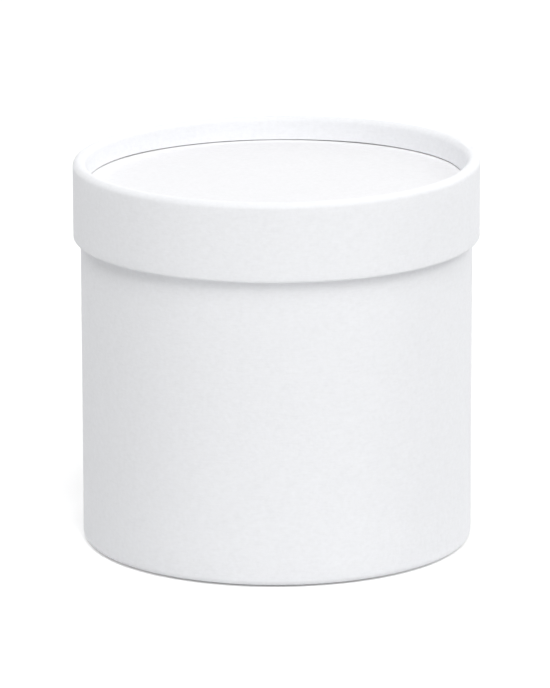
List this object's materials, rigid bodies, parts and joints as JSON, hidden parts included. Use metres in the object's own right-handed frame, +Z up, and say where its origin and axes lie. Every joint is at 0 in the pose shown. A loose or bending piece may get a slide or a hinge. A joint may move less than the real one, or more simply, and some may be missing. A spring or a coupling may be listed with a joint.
{
  "type": "cylindrical gift tube box",
  "caption": "Round gift box of wrapped white pasteboard: a tube body with a rolled bottom edge and a lift-off lid with a rolled rim and a sunk disc.",
  "frame": {"origin": "centre of the ring that the box stands on, on the surface under it", "axes": "+Z up along the box's own axis, towards the lid; X and Y are alike, because the box is round"},
  "size_m": [0.1058, 0.1058, 0.101],
  "materials": {
    "white_wrap_paper": "matte",
    "white_disc_paper": "matte",
    "white_lining_paper": "matte",
    "grey_board": "matte"
  },
  "bodies": {
    "box_body": {"body_tube": "grey_board", "body_wrap_paper": "white_wrap_paper", "body_lining_paper": "white_lining_paper", "base_board": "grey_board", "floor_paper": "white_lining_paper", "base_under_paper": "white_disc_paper"},
    "lid": {"lid_tube": "grey_board", "lid_wrap_paper": "white_wrap_paper", "lid_lining_paper": "white_lining_paper", "lid_top_board": "grey_board", "lid_top_paper": "white_disc_paper", "lid_inner_paper": "white_lining_paper"}
  },
  "joints": [
    {"name": "lid_lift", "type": "slide", "parent": "box_body", "child": "lid", "axis": [0, 0, 1], "range_m": [0, 0.12]}
  ]
}
